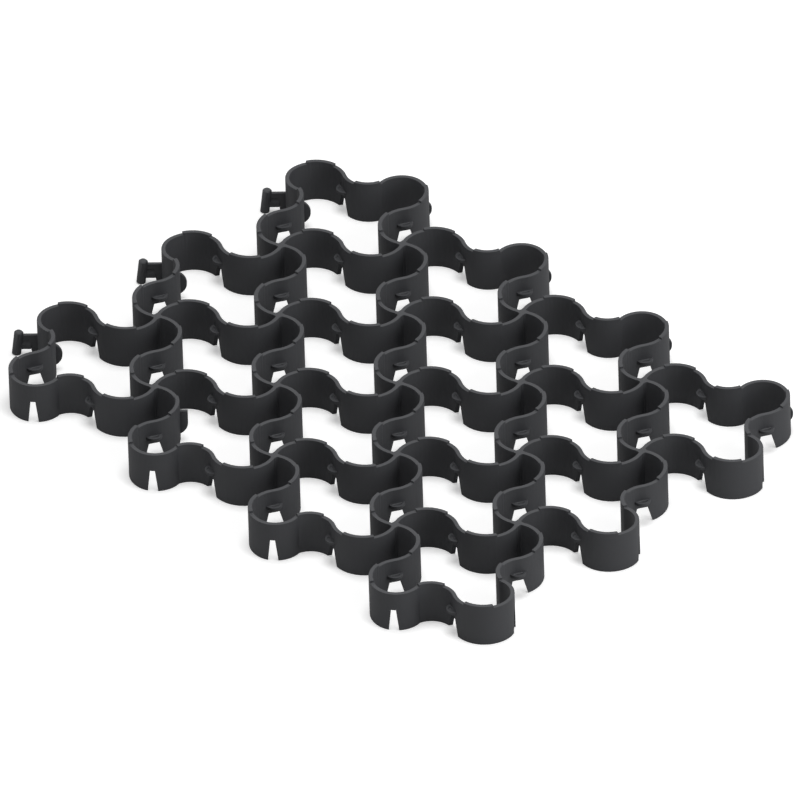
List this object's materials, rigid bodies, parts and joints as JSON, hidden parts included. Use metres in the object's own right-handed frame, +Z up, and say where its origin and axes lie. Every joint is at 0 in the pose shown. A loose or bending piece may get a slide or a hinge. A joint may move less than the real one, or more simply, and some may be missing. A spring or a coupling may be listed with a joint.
{
  "type": "grass paver grid",
  "caption": "Moulded plastic ground grid of wavy upright walls that cross at right angles, with rounded open cells, drain notches, slotted border loops and tees.",
  "frame": {"origin": "middle of the lattice of walls at the floor that the walls stand on; the tees stand out past two sides, so the outer box's own middle is a little off it", "axes": "+X along the long side, +Y along the short side away from the slotted long side, +Z up; the tees are on the -X and +Y sides, the slots on the +X and -Y sides"},
  "size_m": [0.6202, 0.4702, 0.04],
  "materials": {
    "grid_plastic": "moulded recycled polyethylene, matt near-black"
  },
  "bodies": {
    "root": {"paver_grid": "grid_plastic"}
  },
  "joints": []
}
